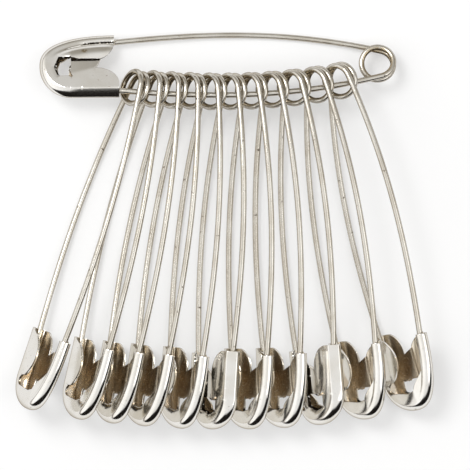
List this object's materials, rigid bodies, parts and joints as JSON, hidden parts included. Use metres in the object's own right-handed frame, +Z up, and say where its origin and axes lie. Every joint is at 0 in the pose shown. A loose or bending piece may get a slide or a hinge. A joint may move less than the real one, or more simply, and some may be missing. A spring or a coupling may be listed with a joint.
{
  "type": "safety pin bunch",
  "caption": "Closed safety pins strung by their spring eyes on the needle of another, fanned out flat, each with a folded sheet cap and a coiled spring eye",
  "frame": {"origin": "Middle of the underside of the bounding box, on the table that the bunch lies on.", "axes": "+X runs along the carrier pin from its cap to its eye, +Y points from the strung pins' caps to the carrier, +Z is up off the table."},
  "size_m": [0.0638, 0.0606, 0.0101],
  "materials": {
    "nickel_cap": "bright nickel plate on folded sheet steel, with fine scratches",
    "nickel_spring_wire": "satin nickel plate on drawn spring wire, with fine dark specks",
    "nickel_needle": "satin nickel plate on drawn spring wire, ground to a point"
  },
  "bodies": {
    "carrier": {"carrier_cap": "nickel_cap", "carrier_spring_wire": "nickel_spring_wire"},
    "carrier_arm": {"carrier_needle": "nickel_needle"},
    "pin_01": {"pin_01_cap": "nickel_cap", "pin_01_spring_wire": "nickel_spring_wire"},
    "pin_01_arm": {"pin_01_needle": "nickel_needle"},
    "pin_02": {"pin_02_cap": "nickel_cap", "pin_02_spring_wire": "nickel_spring_wire"},
    "pin_02_arm": {"pin_02_needle": "nickel_needle"},
    "pin_03": {"pin_03_cap": "nickel_cap", "pin_03_spring_wire": "nickel_spring_wire"},
    "pin_03_arm": {"pin_03_needle": "nickel_needle"},
    "pin_04": {"pin_04_cap": "nickel_cap", "pin_04_spring_wire": "nickel_spring_wire"},
    "pin_04_arm": {"pin_04_needle": "nickel_needle"},
    "pin_05": {"pin_05_cap": "nickel_cap", "pin_05_spring_wire": "nickel_spring_wire"},
    "pin_05_arm": {"pin_05_needle": "nickel_needle"},
    "pin_06": {"pin_06_cap": "nickel_cap", "pin_06_spring_wire": "nickel_spring_wire"},
    "pin_06_arm": {"pin_06_needle": "nickel_needle"},
    "pin_07": {"pin_07_cap": "nickel_cap", "pin_07_spring_wire": "nickel_spring_wire"},
    "pin_07_arm": {"pin_07_needle": "nickel_needle"},
    "pin_08": {"pin_08_cap": "nickel_cap", "pin_08_spring_wire": "nickel_spring_wire"},
    "pin_08_arm": {"pin_08_needle": "nickel_needle"},
    "pin_09": {"pin_09_cap": "nickel_cap", "pin_09_spring_wire": "nickel_spring_wire"},
    "pin_09_arm": {"pin_09_needle": "nickel_needle"},
    "pin_10": {"pin_10_cap": "nickel_cap", "pin_10_spring_wire": "nickel_spring_wire"},
    "pin_10_arm": {"pin_10_needle": "nickel_needle"},
    "pin_11": {"pin_11_cap": "nickel_cap", "pin_11_spring_wire": "nickel_spring_wire"},
    "pin_11_arm": {"pin_11_needle": "nickel_needle"}
  },
  "joints": [
    {"name": "carrier_needle_squeeze", "type": "hinge", "parent": "carrier", "child": "carrier_arm", "pos_m": [0.02329, 0.02545, 0.00269], "axis": [0.0039, -0.3746, -0.9272], "range_deg": [0, 4.2], "stiffness_Nm_per_rad": 0.05, "springref_deg": -20.05},
    {"name": "pin_01_swing", "type": "hinge", "parent": "carrier_arm", "child": "pin_01", "pos_m": [-0.01377, 0.02112, 0.00428], "axis": [-0.9961, 0.0784, -0.0414], "range_deg": [-60, 35]},
    {"name": "pin_02_swing", "type": "hinge", "parent": "carrier_arm", "child": "pin_02", "pos_m": [-0.01082, 0.02091, 0.00441], "axis": [-0.9969, 0.0658, -0.0427], "range_deg": [-60, 35]},
    {"name": "pin_03_swing", "type": "hinge", "parent": "carrier_arm", "child": "pin_03", "pos_m": [-0.00796, 0.02074, 0.00453], "axis": [-0.9978, 0.051, -0.0419], "range_deg": [-60, 35]},
    {"name": "pin_04_swing", "type": "hinge", "parent": "carrier_arm", "child": "pin_04", "pos_m": [-0.00506, 0.02062, 0.00465], "axis": [-0.9987, 0.0333, -0.0387], "range_deg": [-60, 35]},
    {"name": "pin_05_swing", "type": "hinge", "parent": "carrier_arm", "child": "pin_05", "pos_m": [-0.00205, 0.02055, 0.00476], "axis": [-0.9994, 0.0117, -0.033], "range_deg": [-60, 35]},
    {"name": "pin_06_swing", "type": "hinge", "parent": "carrier_arm", "child": "pin_06", "pos_m": [0.00097, 0.02055, 0.00485], "axis": [-0.9996, -0.0134, -0.0247], "range_deg": [-60, 35]},
    {"name": "pin_07_swing", "type": "hinge", "parent": "carrier_arm", "child": "pin_07", "pos_m": [0.00412, 0.02064, 0.00491], "axis": [-0.999, -0.0426, -0.0133], "range_deg": [-60, 35]},
    {"name": "pin_08_swing", "type": "hinge", "parent": "carrier_arm", "child": "pin_08", "pos_m": [0.00733, 0.02083, 0.00493], "axis": [-0.9972, -0.0751, 0.0007], "range_deg": [-60, 35]},
    {"name": "pin_09_swing", "type": "hinge", "parent": "carrier_arm", "child": "pin_09", "pos_m": [0.01062, 0.02113, 0.0049], "axis": [-0.9938, -0.1099, 0.0172], "range_deg": [-60, 35]},
    {"name": "pin_10_swing", "type": "hinge", "parent": "carrier_arm", "child": "pin_10", "pos_m": [0.0141, 0.02158, 0.0048], "axis": [-0.9886, -0.1463, 0.0362], "range_deg": [-60, 35]},
    {"name": "pin_11_swing", "type": "hinge", "parent": "carrier_arm", "child": "pin_11", "pos_m": [0.0177, 0.02219, 0.00463], "axis": [-0.9817, -0.182, 0.0567], "range_deg": [-60, 35]},
    {"name": "pin_01_needle_squeeze", "type": "hinge", "parent": "pin_01", "child": "pin_01_arm", "pos_m": [-0.01358, 0.02169, 0.00427], "axis": [-0.7959, 0.2826, 0.5355], "range_deg": [0, 8], "stiffness_Nm_per_rad": 0.002, "springref_deg": -20.05},
    {"name": "pin_02_needle_squeeze", "type": "hinge", "parent": "pin_02", "child": "pin_02_arm", "pos_m": [-0.01068, 0.02149, 0.0044], "axis": [-0.8043, 0.1976, 0.5604], "range_deg": [0, 8], "stiffness_Nm_per_rad": 0.002, "springref_deg": -20.05},
    {"name": "pin_03_needle_squeeze", "type": "hinge", "parent": "pin_03", "child": "pin_03_arm", "pos_m": [-0.00785, 0.02133, 0.00453], "axis": [-0.7962, 0.1551, 0.5848], "range_deg": [0, 8], "stiffness_Nm_per_rad": 0.002, "springref_deg": -20.05},
    {"name": "pin_04_needle_squeeze", "type": "hinge", "parent": "pin_04", "child": "pin_04_arm", "pos_m": [-0.00497, 0.02121, 0.00465], "axis": [-0.7849, 0.1158, 0.6087], "range_deg": [0, 8], "stiffness_Nm_per_rad": 0.002, "springref_deg": -20.05},
    {"name": "pin_05_needle_squeeze", "type": "hinge", "parent": "pin_05", "child": "pin_05_arm", "pos_m": [-0.002, 0.02115, 0.00476], "axis": [-0.7722, 0.0664, 0.6319], "range_deg": [0, 8], "stiffness_Nm_per_rad": 0.002, "springref_deg": -20.05},
    {"name": "pin_06_needle_squeeze", "type": "hinge", "parent": "pin_06", "child": "pin_06_arm", "pos_m": [0.00101, 0.02115, 0.00486], "axis": [0.7552, -0.0338, -0.6546], "range_deg": [0, 8], "stiffness_Nm_per_rad": 0.002, "springref_deg": -20.05},
    {"name": "pin_07_needle_squeeze", "type": "hinge", "parent": "pin_07", "child": "pin_07_arm", "pos_m": [0.00412, 0.02124, 0.00492], "axis": [-0.7362, -0.0053, 0.6767], "range_deg": [0, 8], "stiffness_Nm_per_rad": 0.002, "springref_deg": -20.05},
    {"name": "pin_08_needle_squeeze", "type": "hinge", "parent": "pin_08", "child": "pin_08_arm", "pos_m": [0.0073, 0.02143, 0.00494], "axis": [-0.7149, -0.0387, 0.6982], "range_deg": [0, 8], "stiffness_Nm_per_rad": 0.002, "springref_deg": -20.05},
    {"name": "pin_09_needle_squeeze", "type": "hinge", "parent": "pin_09", "child": "pin_09_arm", "pos_m": [0.01058, 0.02173, 0.00491], "axis": [0.6912, 0.0717, -0.7191], "range_deg": [0, 8], "stiffness_Nm_per_rad": 0.002, "springref_deg": -20.05},
    {"name": "pin_10_needle_squeeze", "type": "hinge", "parent": "pin_10", "child": "pin_10_arm", "pos_m": [0.01401, 0.02218, 0.00482], "axis": [-0.6633, -0.1156, 0.7394], "range_deg": [0, 8], "stiffness_Nm_per_rad": 0.002, "springref_deg": -20.05},
    {"name": "pin_11_needle_squeeze", "type": "hinge", "parent": "pin_11", "child": "pin_11_arm", "pos_m": [0.01757, 0.02277, 0.00465], "axis": [-0.6304, -0.1623, 0.7591], "range_deg": [0, 8], "stiffness_Nm_per_rad": 0.002, "springref_deg": -20.05}
  ],
  "couplings": [
    {"joint": "pin_02_swing", "follows": "pin_01_swing", "ratio": 1},
    {"joint": "pin_03_swing", "follows": "pin_01_swing", "ratio": 1},
    {"joint": "pin_04_swing", "follows": "pin_01_swing", "ratio": 1},
    {"joint": "pin_05_swing", "follows": "pin_01_swing", "ratio": 1},
    {"joint": "pin_06_swing", "follows": "pin_01_swing", "ratio": 1},
    {"joint": "pin_07_swing", "follows": "pin_01_swing", "ratio": 1},
    {"joint": "pin_08_swing", "follows": "pin_01_swing", "ratio": 1},
    {"joint": "pin_09_swing", "follows": "pin_01_swing", "ratio": 1},
    {"joint": "pin_10_swing", "follows": "pin_01_swing", "ratio": 1},
    {"joint": "pin_11_swing", "follows": "pin_01_swing", "ratio": 1}
  ]
}
